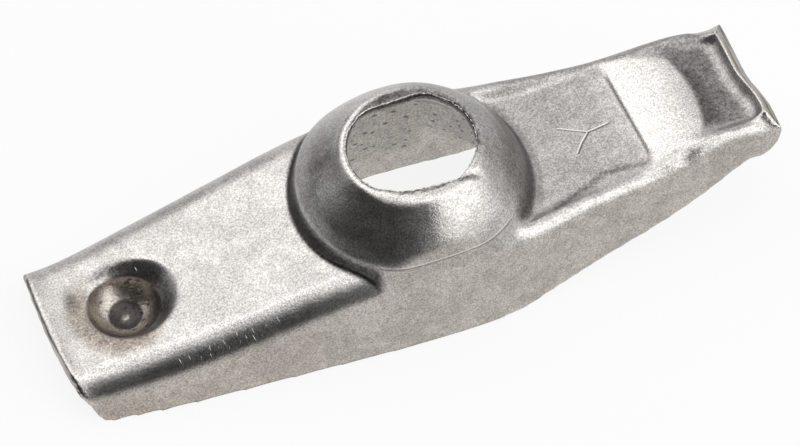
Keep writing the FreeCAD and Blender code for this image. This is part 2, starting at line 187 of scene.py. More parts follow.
class Shader(Nodes):
    """A material's node tree with short calls for what the finishes need."""

    def __init__(self, name: str) -> None:
        """Start an empty material of that name."""
        self.material = bpy.data.materials.new(name)
        self.material.use_nodes = True
        super().__init__(self.material.node_tree)
        self.tree.nodes.clear()

    def surface(self, shader: bpy.types.Node) -> bpy.types.Material:
        """End the tree in a shader and return the material."""
        self.node("ShaderNodeOutputMaterial", {"Surface": shader.outputs[0]})
        return self.material

    def metal(self, base: Socket, rough: Socket, bump: bpy.types.Node) -> bpy.types.Material:
        """End the tree in bare metal of that colour and roughness and return the material."""
        body = self.node("ShaderNodeBsdfPrincipled", {"Base Color": base, "Roughness": rough, "Metallic": 1.0,
                                                      "Normal": bump.outputs["Normal"]})
        return self.surface(body)

    def matt(self, tone: float) -> bpy.types.Node:
        """A matt grey."""
        return self.node("ShaderNodeBsdfDiffuse", {"Color": (tone, tone, tone, 1.0)})

    def millimetres(self) -> Socket:
        """Object coordinates in millimetres."""
        place = self.node("ShaderNodeTexCoord")
        return self.stretched(place.outputs["Object"], (1000.0, 1000.0, 1000.0))

    def stretched(self, where: Socket, scale: Point) -> Socket:
        """Coordinates scaled along their axes."""
        return self.node("ShaderNodeMapping", {"Vector": where, "Scale": scale}).outputs["Vector"]

    def grain(self, where: Socket, size: float, detail: float = 2.0, roughness: float = 0.5) -> Socket:
        """Noise whose lumps are about size millimetres wide."""
        item = self.node("ShaderNodeTexNoise", {"Vector": where, "Scale": 1.0 / size, "Detail": detail,
                                                "Roughness": roughness})
        return item.outputs["Fac"]

    def ramp(self, value: Socket, low: float, high: float, start: float = 0.0, end: float = 1.0) -> Socket:
        """Map a value from low..high to start..end, clamped and eased."""
        item = self.node("ShaderNodeMapRange", {"Value": value, "From Min": low, "From Max": high,
                                                "To Min": start, "To Max": end},
                         interpolation_type="SMOOTHSTEP")
        return item.outputs["Result"]

    def times(self, *values: object) -> Socket:
        """The product of values."""
        result = values[0]
        for value in values[1:]:
            result = self.maths("MULTIPLY", result, value)
        return result

    def near(self, value: Socket, middle: float, reach: float) -> Socket:
        """Give 1 where a value is at middle and 0 where it is reach away."""
        return self.ramp(self.maths("ABSOLUTE", self.maths("SUBTRACT", value, middle)), 0.0, reach, 1.0, 0.0)

    def stroke(self, flat: Socket, start: Spot, end: Spot, width: float) -> Socket:
        """Find a straight scratch in plan.

        Args:
            flat: Coordinates with no height.
            start: One end of the scratch.
            end: Its other end.
            width: Half of its width.

        Returns:
            A value of 1 on the scratch and 0 away from it.
        """
        first = Vector((*start, 0.0))
        run = Vector((*end, 0.0)) - first
        offset = self.node("ShaderNodeVectorMath", {0: flat, 1: first}, operation="SUBTRACT").outputs[0]
        along = self.node("ShaderNodeVectorMath", {0: offset, 1: run / run.length_squared},
                          operation="DOT_PRODUCT").outputs["Value"]
        along = self.node("ShaderNodeClamp", {"Value": along}).outputs[0]
        foot = self.node("ShaderNodeVectorMath", {0: run, "Scale": along}, operation="SCALE").outputs[0]
        away = self.node("ShaderNodeVectorMath", {0: offset, 1: foot}, operation="DISTANCE").outputs["Value"]
        return self.ramp(away, 0.3 * width, width, 1.0, 0.0)

    def blend(self, share: object, first: object, second: object, kind: str = "MIX") -> Socket:
        """Mix two colours by share."""
        item = self.node("ShaderNodeMix", data_type="RGBA", blend_type=kind)
        for place, value in ((0, share), (6, first), (7, second)):
            if isinstance(value, Socket):
                self.tree.links.new(value, item.inputs[place])
            elif place == 0:
                item.inputs[place].default_value = value
            else:
                item.inputs[place].default_value = (*value, 1.0)
        return item.outputs[2]

    def grey(self, value: Socket) -> Socket:
        """A grey of that value."""
        return self.node("ShaderNodeCombineColor", {0: value, 1: value, 2: value}).outputs[0]

    def attribute(self, mask: Mask) -> Socket:
        """A surface attribute's value."""
        return self.node("ShaderNodeAttribute", attribute_name=mask.value).outputs["Fac"]


@dataclass(frozen=True)
class PressedSteelFinish:
    """Tumbled bare steel: sandy grain, soft mottling, dark scale and painted shade in the hollows and on
    faces turned from the light, and polish and painted highlights on the high spots.
    """

    light: Colour = (0.50, 0.485, 0.465)
    dark: Colour = (0.41, 0.395, 0.38)
    # Dark colour for scale and pits, and for painted shade in hollows, recesses and on faces turned from the
    # light
    scale_and_painted_shade: Colour = (0.040, 0.035, 0.036)
    warm: Colour = (1.05, 0.94, 0.82)
    # Bright colour for polished wear and fresh scratches, and for painted highlights on the front bend's
    # crest, the dome's right flank, the valve pad and the die line
    polish_and_painted_highlight: Colour = (0.72, 0.70, 0.675)
    sheared_dark: Colour = (0.10, 0.082, 0.068)
    sheared_light: Colour = (0.42, 0.385, 0.35)
    grain_size: float = 0.19
    sand_size: float = 0.36
    mottle_size: float = 1.5
    cloud_size: float = 6.0
    streak_size: float = 0.42
    pits_per_mm: float = 1.5
    pit_stretch: float = 0.55
    roughness: float = 0.29
    die_line_height: float = 13.22
    die_line_slope: float = 0.035
    scratch_width: float = 0.10
    # Width and offset of the painted shade stroke beside the scratch
    shade_width: float = 0.13
    shade_shift: Spot = (0.12, -0.16)
    # Strokes of the forked scratch in the trough
    scratch: tuple[tuple[Spot, Spot], ...] = (
        ((17.5, 1.7), (19.2, 0.7)), ((19.2, 0.7), (20.3, 0.1)), ((20.3, 0.1), (22.6, 0.3)),
        ((20.2, 0.0), (19.2, -0.9)), ((19.2, -0.9), (18.3, -2.0)))

    def build(self) -> bpy.types.Material:
        """Make the material.

        Returns:
            The material, which reads the masks of the surface it is on.
        """
        make = Shader("tumbled_pressed_steel")
        where = make.millimetres()
        flat = make.stretched(where, (1.0, 1.0, 0.0))
        fine = make.grain(where, self.grain_size, 2.0, 0.6)
        sand = make.grain(where, self.sand_size, 3.0, 0.6)
        mottle = make.grain(where, self.mottle_size, 3.0, 0.55)
        cloud = make.grain(where, self.cloud_size, 2.0, 0.5)
        scale_and_painted_shade = make.attribute(Mask.SCALE_AND_PAINTED_SHADE)
        polish_and_painted_highlight = make.attribute(Mask.POLISH_AND_PAINTED_HIGHLIGHT)
        warm = make.attribute(Mask.WARM)
        cut = make.attribute(Mask.CUT)

        tone = make.ramp(make.maths("ADD", make.times(mottle, 0.5), make.times(cloud, 0.5)), 0.40, 0.60)
        base = make.blend(tone, self.dark, self.light)
        # Polish and painted highlights, where the surface's mask gives them
        base = make.blend(make.times(polish_and_painted_highlight, 0.9), base, self.polish_and_painted_highlight)
        speck = make.times(make.ramp(fine, 0.34, 0.66, 0.70, 1.22), make.ramp(sand, 0.30, 0.42, 0.72, 1.0))
        base = make.blend(1.0, base, make.grey(speck), "MULTIPLY")
        base = make.blend(warm, base, self.warm, "MULTIPLY")

        # Dark scale and painted shade, where the surface's mask gives them, with a ragged edge
        edge = make.times(scale_and_painted_shade, make.maths("SUBTRACT", 1.0, scale_and_painted_shade))
        ragged = make.times(edge, make.maths("SUBTRACT", make.ramp(sand, 0.36, 0.64), 0.5))
        share = make.maths("ADD", scale_and_painted_shade, make.times(ragged, 1.3))
        base = make.blend(share, base, self.scale_and_painted_shade)

        base, groove = self.scratched(make, flat, base)
        base = self.witnessed(make, where, base)
        base = self.sheared(make, where, cut, base)
        base, pit = self.pitted(make, where, base)

        rough = make.ramp(mottle, 0.3, 0.7, self.roughness - 0.01, self.roughness + 0.01)
        rough = make.maths("ADD", rough, make.times(scale_and_painted_shade, 0.10))
        rough = make.maths("SUBTRACT", rough, make.times(polish_and_painted_highlight, 0.04))
        height = make.maths("SUBTRACT", fine, make.times(make.maths("MAXIMUM", groove, pit), 2.0))
        bump = make.node("ShaderNodeBump", {"Strength": 0.55, "Distance": 0.00003, "Height": height})
        bump = make.node("ShaderNodeBump", {"Strength": 0.35, "Distance": 0.00004, "Height": sand,
                                            "Normal": bump.outputs["Normal"]})
        return make.metal(base, rough, bump)

    def scratched(self, make: Shader, flat: Socket, base: Socket) -> tuple[Socket, Socket]:
        """Draw the forked scratch, with a painted shade stroke just beside it.

        Args:
            make: The material's shader.
            flat: Coordinates with no height.
            base: The steel's colour.

        Returns:
            The colour with the scratch, and the scratch's groove.
        """
        bright: object = 0.0
        shade: object = 0.0
        for start, end in self.scratch:
            bright = make.maths("MAXIMUM", bright, make.stroke(flat, start, end, self.scratch_width))
            right, down = self.shade_shift
            lower = [(across + right, along + down) for across, along in (start, end)]
            shade = make.maths("MAXIMUM", shade, make.stroke(flat, *lower, self.shade_width))
        above = make.ramp(make.node("ShaderNodeSeparateXYZ", {0: flat}).outputs[0], 16.5, 17.0)
        # Painted shade: a dark stroke beside the scratch, where its groove would be shaded
        base = make.blend(make.times(shade, above, 0.7), base, self.scale_and_painted_shade)
        base = make.blend(make.times(bright, above, 0.8), base, self.polish_and_painted_highlight)
        return base, make.times(shade, above)

    def witnessed(self, make: Shader, where: Socket, base: Socket) -> Socket:
        """Draw the line that the die left round the front of the dome's foot as a painted highlight, with a
        painted shade line just below it.
        """
        x, y, z = make.node("ShaderNodeSeparateXYZ", {0: where}).outputs[0:3]
        level = make.maths("SUBTRACT", z, make.times(x, self.die_line_slope))
        stretch = make.times(make.ramp(x, -7.5, -6.5), make.ramp(x, 8.0, 9.5, 1.0, 0.0))
        front = make.times(make.ramp(y, -9.5, -8.5, 1.0, 0.0), stretch)
        # Painted shade just below the die line
        shade = make.near(level, self.die_line_height - 0.20, 0.13)
        base = make.blend(make.times(shade, front, 0.5), base, self.scale_and_painted_shade)
        # Painted highlight along the die line
        line = make.near(level, self.die_line_height, 0.11)
        return make.blend(make.times(line, front, 0.85), base, self.polish_and_painted_highlight)

    def sheared(self, make: Shader, where: Socket, cut: Socket, base: Socket) -> Socket:
        """Draw the lines that the shears left across the cut faces.

        Args:
            make: The material's shader.
            where: Coordinates in millimetres.
            cut: Where the cut faces are.
            base: The steel's colour.

        Returns:
            The colour with the cut faces.
        """
        x, y, z = make.node("ShaderNodeSeparateXYZ", {0: where}).outputs[0:3]
        across = make.maths("SUBTRACT", z, make.times(x, 0.8))
        lines = make.node("ShaderNodeCombineXYZ", {0: across, 1: make.times(y, 0.05), 2: 0.0}).outputs[0]
        streak = make.ramp(make.grain(lines, self.streak_size, 2.0, 0.6), 0.40, 0.60)
        face = make.blend(streak, self.sheared_dark, self.sheared_light)
        return make.blend(cut, base, face)

    def pitted(self, make: Shader, where: Socket, base: Socket) -> tuple[Socket, Socket]:
        """Add dark pits that lie along the arm.

        Args:
            make: The material's shader.
            where: Coordinates in millimetres.
            base: The steel's colour.

        Returns:
            The colour with the pits, and the pits.
        """
        place = make.stretched(where, (self.pit_stretch, 1.0, 1.0))
        cells = make.node("ShaderNodeTexVoronoi", {"Vector": place, "Scale": self.pits_per_mm,
                                                   "Randomness": 1.0})
        chance = make.node("ShaderNodeSeparateColor", {0: cells.outputs["Color"]}).outputs[0]
        pick = make.ramp(chance, 0.30, 0.50)
        spot = make.ramp(cells.outputs["Distance"], 0.14, 0.38, 1.0, 0.0)
        pit = make.times(spot, pick, make.attribute(Mask.PITS))
        return make.blend(make.times(pit, 0.75), base, self.scale_and_painted_shade), pit


@dataclass(frozen=True)
class ScratchFinish:
    """Freshly torn bright steel, on burrs and scratches."""

    name: str = "torn_steel"
    colour: Colour = (0.62, 0.605, 0.585)
    roughness: float = 0.30
    grain_size: float = 0.2

    def build(self) -> bpy.types.Material:
        """Make the material."""
        make = Shader(self.name)
        where = make.millimetres()
        fine = make.grain(where, self.grain_size, 3.0, 0.6)
        speck = make.ramp(fine, 0.35, 0.65, 0.45, 1.1)
        base = make.blend(1.0, self.colour, make.grey(speck), "MULTIPLY")
        rough = make.ramp(fine, 0.3, 0.7, self.roughness - 0.05, self.roughness + 0.10)
        bump = make.node("ShaderNodeBump", {"Strength": 0.5, "Distance": 0.00003, "Height": fine})
        return make.metal(base, rough, bump)


@dataclass
class PressedArm:
    """The arm's skin: the solid's own form, remeshed finely, eased, worn and painted."""

    node: str = "rocker_arm"
    voxel: float = 0.29
    finish: PressedSteelFinish = field(default_factory=PressedSteelFinish)
    socket: Point = (-32.1, 0.0, 5.8)
    low_end: float = 40.8
    valve_end: float = 39.8
    tip_face_height: float = 12.7
    tip_curl: float = math.radians(40.0)
    pad_left: float = 25.25
    pad_right: float = 32.1
    pad_foot: float = 25.3
    pad_back: float = 7.8
    pad_back_start: float = 24.6
    trough_back: float = 7.2
    # Dents: middle, half width across the arm, half length along it and depth
    dents: tuple[tuple[Point, float, float, float], ...] = (
        ((28.2, -7.3, 13.0), 0.9, 1.3, 0.16),
        ((39.0, -7.9, 12.0), 0.7, 0.5, 0.22),
        ((-36.9, 2.6, 5.3), 1.5, 0.60, 0.20),
        ((3.9, -5.9, 18.6), 0.32, 1.3, 0.30),
    )

    def remeshed(self) -> bpy.types.Mesh:
        """Remesh a merged copy of the solid, in millimetres, and lay its points back on the solid."""
        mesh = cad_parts[self.node].data.copy()
        mesh.transform(Matrix.Scale(1.0 / MM, 4))
        work = bmesh.new()
        work.from_mesh(mesh)
        bmesh.ops.remove_doubles(work, verts=work.verts, dist=0.0005)
        solid = BVHTree.FromBMesh(work)
        work.to_mesh(mesh)
        work.free()
        mesh.materials.clear()
        item = link_object("remesh_work", mesh)
        modifier = item.modifiers.new("voxels", "REMESH")
        modifier.mode = "VOXEL"
        modifier.voxel_size = self.voxel
        result = evaluated_mesh(item)
        bpy.data.objects.remove(item)
        points = self.relax(point_array(result), self.edges_of(result), 4, 0.5)
        points = np.array([tuple(solid.find_nearest(Vector(p))[0]) for p in points])
        points = self.relax(points, self.edges_of(result), 1, 0.5)
        result.vertices.foreach_set("co", points.ravel())
        result.update()
        return result

    def edges_of(self, mesh: bpy.types.Mesh) -> np.ndarray:
        """Pairs of point numbers, one for each edge."""
        edges = np.zeros(len(mesh.edges) * 2, int)
        mesh.edges.foreach_get("vertices", edges)
        return edges.reshape(-1, 2)

    def relax(self, points: np.ndarray, edges: np.ndarray, rounds: int,
              share: np.ndarray | float) -> np.ndarray:
        """Ease points towards the middle of their neighbours.

        Args:
            points: Positions, one row each.
            edges: Pairs of point numbers.
            rounds: Number of passes.
            share: How far each point moves in one pass, from 0 to 1.

        Returns:
            The eased positions.
        """
        first, second = edges[:, 0], edges[:, 1]
        count = np.bincount(edges.ravel(), minlength=len(points))[:, None]
        weight = np.broadcast_to(np.asarray(share, float), (len(points),))[:, None]
        for _ in range(rounds):
            total = np.zeros_like(points)
            for axis in range(3):
                total[:, axis] += np.bincount(first, points[second, axis], len(points))
                total[:, axis] += np.bincount(second, points[first, axis], len(points))
            points = points + weight * (total / count - points)
        return points

    def build(self) -> bpy.types.Object:
        """Build, paint and dress the arm."""
        mesh = self.remeshed()
        edges = self.edges_of(mesh)
        points = point_array(mesh)
        low, high = points.min(0), points.max(0)
        points = self.eased(points, edges)
        mesh.vertices.foreach_set("co", points.ravel())
        mesh.update()
        normals = np.array([tuple(item.vector) for item in mesh.vertex_normals])
        masks = self.masks(points, normals, edges)
        points = self.trimmed(self.worn(points, normals, masks))
        points = np.clip(points, low, high) * MM
        mesh.vertices.foreach_set("co", points.ravel())
        mesh.update()
        for mask, values in masks.items():
            layer = mesh.attributes.new(mask.value, "FLOAT", "POINT")
            layer.data.foreach_set("value", np.clip(values, 0.0, 1.0).astype(np.float32))
        mesh.shade_smooth()
        mesh.materials.append(self.finish.build())
        mesh.name = "arm_skin"
        item = link_object("arm_skin", mesh)
        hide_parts(self.node)
        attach(item, BODY)
        LOG.info("arm_skin: %d points", len(points))
        return item

    def eased(self, points: np.ndarray, edges: np.ndarray) -> np.ndarray:
        """Round the folds and fillets where the press left them soft."""
        x, y, z = points.T
        ring = np.hypot(x, y)
        front = smooth_step(np.abs(y), 8.8, 10.4) * smooth_step(z, 7.5, 9.5) * between(x, -5.5, 12.0, 2.5)
        junction = hump(ring, 12.7, 2.0) * smooth_step(x, 2.0, 6.0) * smooth_step(-np.abs(y), -9.5, -8.0)
        shoulders = smooth_step(x, 9.0, 13.0) * smooth_step(-x, -37.5, -36.0)
        shoulders = shoulders * smooth_step(np.abs(y), 4.9, 6.4)
        dish = hump(np.hypot(x - self.socket[0], y - self.socket[1]), 7.1, 2.0) * smooth_step(z, 4.0, 5.0)
        points = self.relax(points, edges, 60, 0.7 * front)
        return self.relax(points, edges, 18, 0.6 * np.maximum.reduce([junction, shoulders, dish]))

    def worn(self, points: np.ndarray, normals: np.ndarray, masks: dict[Mask, np.ndarray]) -> np.ndarray:
        """Add the slight waves, dents and ragged cut edges of a used pressing."""
        lift = 0.030 * noise_at(points, 6.0, 3.1) + 0.012 * noise_at(points, 1.6, 8.7)
        for place, across, along, depth in self.dents:
            offset = points - np.array(place)
            reach = (offset[:, 0] / along) ** 2 + (offset[:, 1] / across) ** 2 + (offset[:, 2] / 1.5) ** 2
            lift -= depth * np.exp(-reach)
        lift += 0.06 * masks[Mask.CUT] * noise_at(points, 0.8, 5.5)
        return points + normals * lift[:, None]

    def trimmed(self, points: np.ndarray) -> np.ndarray:
        """Set the dome, the pad and both ends a little askew, as the press and the shears left them."""
        x, y, z = points.T
        moved = points.copy()
        ring = np.hypot(x, y)
        angle = np.degrees(np.arctan2(y, x)) % 360.0
        top = smooth_step(z, 14.0, 17.5) * smooth_step(-ring, -12.5, -10.0)
        moved[:, 0] += 0.5 * top
        moved[:, 1] += 0.2 * top
        corner = 0.40 * np.exp(-((angle - 237.0) / 20.0) ** 2) * smooth_step(-ring, -8.2, -6.9)
        corner = corner * smooth_step(z, 13.0, 15.0)
        moved[:, :2] -= corner[:, None] * points[:, :2] / np.maximum(ring, 1.0)[:, None]
        moved[:, 0] -= (0.8 - 0.05 * (7.6 - y)) * hump(x, self.pad_foot, 4.0) * smooth_step(z, 9.0, 10.5)
        lean = 0.1 + np.clip((3.0 - y) / 11.5, 0.0, 1.0) ** 2
        moved[:, 0] += lean * smooth_step(-x, 36.5, self.low_end) * smooth_step(z, 0.0, 2.5)
        moved[:, 0] -= (0.35 + 0.85 * smooth_step(y, -4.5, 1.0)) * smooth_step(x, 33.5, 37.5)
        lift = smooth_step(x, 35.8, 38.6) * smooth_step(-np.abs(y), -7.2, -5.0)
        lift = lift * np.clip((z - 12.7) / 1.25, 0.0, 1.0)
        moved[:, 0] -= 0.75 * lift
        moved[:, 2] += 0.9 * lift
        return moved

    def masks(self, points: np.ndarray, normals: np.ndarray, edges: np.ndarray) -> dict[Mask, np.ndarray]:
        """Work out where the skin gets scale and painted shade, polish and painted highlights, warmth, pits
        and cut faces.

        Args:
            points: Positions in millimetres.
            normals: Directions out of the skin.
            edges: Pairs of point numbers.

        Returns:
            A value from 0 to 1 for each point and mask.
        """
        x, y, z = points.T
        nx, ny, nz = normals.T
        # Hollows take scale and painted shade, proud spots take polish
        bend = ((self.relax(points, edges, 14, 0.6) - points) * normals).sum(1)
        hollow = smooth_step(bend, 0.02, 0.20)
        proud = smooth_step(-bend, 0.03, 0.16)
        ring = np.hypot(x, y)
        angle = np.degrees(np.arctan2(y, x)) % 360.0
        cup = np.hypot(x - self.socket[0], y - self.socket[1])
        up = smooth_step(nz, -0.1, 0.2)
        mottle = 0.5 + 0.5 * noise_at(points, 1.3, 21.0)

        # The step at the dome's foot and the groove beside the trough, darkened by scale and painted shade
        wall = between(ring, 12.15, 13.0, 0.25) * smooth_step(-x, 6.4, 7.4) * smooth_step(z, 8.0, 9.0)
        groove = hump(ring, 12.8, 1.1) * smooth_step(x, 6.0, 9.5) * between(y, -8.6, 9.0, 0.4)
        # The dome: its land, its lip and its flanks. The back of the land gets a painted shadow, a dark wavy
        # line runs along the land's front, the chip is darkened, both flanks get painted shade, a patch on
        # the left flank gets a painted dark reflection, and a band on the right flank gets a painted
        # highlight
        dome = smooth_step(-ring, -12.2, -11.8) * smooth_step(z, 13.0, 13.4) * smooth_step(nz, 0.2, 0.4)
        land = smooth_step(-ring, -7.2, -6.9) * smooth_step(z, 17.6, 17.9)
        wave = 0.25 * noise_at(points, 0.9, 33.0)
        land_line = land * hump(y + 6.15 + wave, 0.0, 0.25)
        # Painted shadow on the back of the land
        land_back = land * smooth_step(y + 4.0 * wave, -4.0, -2.5)
        chip = hump(x, 3.9, 1.7) * hump(y, -6.05, 0.5) * smooth_step(z, 17.6, 17.9)
        # Painted dark reflection on the dome's left flank
        painted_dark_reflection = np.exp(-((angle - 164.0) / 7.0) ** 2 - ((ring - 9.6) / 1.4) ** 2) * dome
        turned = (angle + 180.0) % 360.0 - 180.0
        # Painted shade on the dome's right flank
        right = between(turned, -38.0, 75.0, 14.0) * dome
        # Painted highlight band on the dome's right flank
        painted_highlight_band = between(turned, -4.0, 44.0, 6.0) * hump(ring, 10.4, 0.9) * dome
        # Painted shade on the dome's left flank
        left = between(angle, 135.0, 196.0, 14.0) * smooth_step(ring, 7.4, 9.0) * dome
        # The trough, its sides, the valley behind the tip and the shoulders: painted shade on the trough, its
        # front side, the back shoulder and the valley, and polish with a painted highlight on the valve pad
        # Painted shade on the trough's floor
        trough = between(x, 11.5, 25.0, 0.6) * between(y, -6.6, 7.4, 0.8)
        pad_right = self.pad_right - 0.040 * (y + 0.5) ** 2
        pad_back = self.pad_back - 0.48 * (x - self.pad_back_start)
        # Polish with a painted highlight on the valve pad
        pad = smooth_step(x - self.pad_left, -0.1, 0.1) * smooth_step(pad_right - x, -0.1, 0.35)
        pad = pad * smooth_step(pad_back - y, -0.5, 0.5) * smooth_step(y, -7.2, -6.2)
        side_line = np.interp(x, (13.0, 15.0, 20.0, 24.4), (-8.2, -7.5, -5.6, -6.1))
        # Painted shade on the trough's front side
        side = hump(y - side_line, 0.0, 1.0) * between(x, 13.0, 25.0, 1.0) * up
        back_line = np.where(x > self.pad_back_start, pad_back, self.trough_back)
        # Painted shade on the back shoulder
        back = between(x, 13.0, 36.0, 1.0) * smooth_step(y - back_line, -0.2, 0.6)
        # Painted shade in the valley behind the pad, deepest in its middle
        valley = smooth_step(x - pad_right, -0.1, 0.3) * smooth_step(-x, -39.6, -35.5)
        valley = valley * between(y, -5.2, 6.5, 0.5)
        deep = smooth_step(x - pad_right, 0.0, 0.4) * smooth_step(-x, -35.8, -33.0)
        deep = deep * between(y, -5.0, 3.5, 0.9)
        # The socket's cup, its worn spot with a painted glint in its middle, painted shade on its dish's
        # steep side and in the dent beside it, and the stain in its dish
        disc = smooth_step(-np.hypot(x + 31.8, y - 0.4), -1.95, -1.75) * smooth_step(-z, -3.6, -3.0)
        bowl = smooth_step(-cup, -4.0, -3.8)
        turn = (x - self.socket[0]) * 0.80 + (y - self.socket[1]) * 0.60
        # Painted shade on the dish's steep side
        steep = between(cup, 4.0, 5.2, 0.5) * smooth_step(turn, -0.4, 1.8)
        # Painted glint in the middle of the worn spot
        spot = np.exp(-((x + 31.9) / 0.35) ** 2 - ((y - 0.2) / 0.3) ** 2)
        # Painted shade in the dent beside the socket
        dent = np.exp(-((x + 36.9) / 0.5) ** 2 - ((y - 2.6) / 1.4) ** 2)
        dish = hump(cup, 4.9, 2.2) * smooth_step(-turn, -1.0, 3.0) * smooth_step(cup, 3.8, 4.1)
        # Cut faces: the valve end, the socket end and the edges of the flanges
        ahead, upward = math.cos(self.tip_curl), math.sin(self.tip_curl)
        face = (x - self.valve_end) * ahead + (z - self.tip_face_height) * upward
        facing = nx * ahead + nz * upward
        tip_cut = smooth_step(face, -0.35, -0.15) * smooth_step(facing, 0.75, 0.9)
        end_cut = smooth_step(-x, self.low_end - 0.25, self.low_end - 0.1)
        foot = smooth_step(-z, -0.45, -0.15) * smooth_step(0.4 - nz, 0.3, 0.6)
        inside = smooth_step(-nz, -0.1, 0.3) * smooth_step(-z, -16.5, -15.5)
        seat = smooth_step(-ring, -11.0, -10.4) * smooth_step(z, 3.0, 5.0)
        seat = seat * smooth_step(-dome - 10.0 * land, -0.6, -0.2)
        flange = smooth_step(np.abs(ny), 0.75, 0.95)

        # Dark scale in the socket's cup and dish; painted shade in hollows, recesses and on faces turned from
        # the light; and darker low inside the hub and along the flanges' bottom edges
        scale_and_painted_shade = np.maximum.reduce([
            0.30 * hollow * up, 0.90 * wall * up, 0.72 * groove,
            (0.22 + 0.10 * mottle) * trough, 0.62 * side, (0.26 + 0.08 * mottle) * back,
            0.60 * valley, 0.80 * deep,
            (0.95 - 0.7 * spot) * disc, (0.05 + 0.35 * mottle * mottle) * bowl, 0.62 * steep,
            (0.38 + 0.35 * mottle) * dish, 0.75 * dent, 0.55 * foot,
            (0.60 + 0.4 * mottle) * land_back, 0.85 * land_line, 0.85 * chip,
            0.60 * painted_dark_reflection, 0.34 * right, 0.30 * left, 0.22 * seat])
        scale_and_painted_shade = scale_and_painted_shade * (1.0 - 0.8 * painted_highlight_band)
        scale_and_painted_shade = scale_and_painted_shade * (1.0 - 0.85 * pad)
        rim = between(ring, 7.05, 7.5, 0.15) * smooth_step(z, 17.4, 17.8)
        # Painted highlight along the front bend's crest, where the overhead lamp would reflect
        painted_crest_highlight = between(ny + 0.3 * wave, -0.40, -0.08, 0.05) * smooth_step(-x, 7.0, 10.0)
        painted_crest_highlight = painted_crest_highlight * smooth_step(nz, 0.7, 0.85)
        # Polish on proud spots, a bright ring on the slot's lip, and painted highlights on the valve pad, the
        # front bend's crest and the dome's right flank
        polish_and_painted_highlight = np.maximum.reduce([0.5 * pad, 0.3 * proud, 0.6 * rim, 0.5 * painted_crest_highlight, 0.6 * painted_highlight_band]) * up
        low_foot = smooth_step(-z, -3.0, 0.0) * smooth_step(-x, 20.0, 36.0)
        warm = np.maximum.reduce([
            0.9 * dish, 0.55 * bowl, 0.6 * inside, 0.9 * low_foot,
            0.5 * flange * smooth_step(-x, -30.0, 30.0), 0.35 * flange])
        ticks = between(x, -30.0, -17.5, 0.3) * between(ny, -0.74, -0.50, 0.03) * smooth_step(nz, 0.3, 0.5)
        return {
            Mask.SCALE_AND_PAINTED_SHADE: scale_and_painted_shade,
            Mask.POLISH_AND_PAINTED_HIGHLIGHT: polish_and_painted_highlight * (1.0 - scale_and_painted_shade),
            Mask.WARM: warm,
            Mask.PITS: np.maximum(0.9 * bowl, seat),
            Mask.CUT: np.maximum(tip_cut, end_cut),
            Mask.TICKS: ticks,
        }


class Growth(Nodes):
    """A geometry node tree with short calls, run once over a piece and baked to a plain mesh."""

    def __init__(self, name: str, sizes: dict[str, float | int]) -> None:
        """Start a tree.

        Args:
            name: The tree's name.
            sizes: Named inputs with their values.
        """
        super().__init__(bpy.data.node_groups.new(name, "GeometryNodeTree"))
        self.tree.interface.new_socket("Geometry", in_out="INPUT", socket_type="NodeSocketGeometry")
        self.tree.interface.new_socket("Geometry", in_out="OUTPUT", socket_type="NodeSocketGeometry")
        self.sizes = sizes
        for label, value in sizes.items():
            kind = "NodeSocketInt" if isinstance(value, int) else "NodeSocketFloat"
            self.tree.interface.new_socket(label, in_out="INPUT", socket_type=kind)
        self.inputs = self.tree.nodes.new("NodeGroupInput")

    def given(self, label: str) -> Socket:
        """The socket of a named input."""
        return self.inputs.outputs[label]

    def spread(self, low: float, high: float) -> Socket:
        """A seeded random number between low and high, new for each place."""
        item = self.node("FunctionNodeRandomValue", {2: low, 3: high, "Seed": self.given("Seed")},
                         data_type="FLOAT")
        return item.outputs[1]

    def finish(self, shape: Socket, material: bpy.types.Material) -> None:
        """End the tree in Realize Instances and Set Material."""
        real = self.node("GeometryNodeRealizeInstances", {"Geometry": shape})
        dressed = self.node("GeometryNodeSetMaterial", {"Geometry": real.outputs[0], "Material": material})
        self.node("NodeGroupOutput", {0: dressed.outputs[0]})

    def bake(self, name: str, data: bpy.types.ID) -> bpy.types.Object:
        """Run the tree over a curve or mesh.

        Args:
            name: Name of the new piece.
            data: The curve or mesh that the tree starts from.

        Returns:
            The piece as a plain mesh, riding on the arm's body.
        """
        base = link_object(f"{name}_work", data)
        modifier = base.modifiers.new("growth", "NODES")
        modifier.node_group = self.tree
        for item in self.tree.interface.items_tree:
            if item.in_out == "INPUT" and item.name in self.sizes:
                modifier[item.identifier] = self.sizes[item.name]
        mesh = evaluated_mesh(base)
        bpy.data.objects.remove(base)
        work = bmesh.new()
        work.from_mesh(mesh)
        bmesh.ops.recalc_face_normals(work, faces=work.faces)
        work.to_mesh(mesh)
        work.free()
        mesh.shade_smooth()
        mesh.name = name
        item = link_object(name, mesh)
        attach(item, BODY)
        LOG.info("%s: %d faces", name, len(mesh.polygons))
        return item


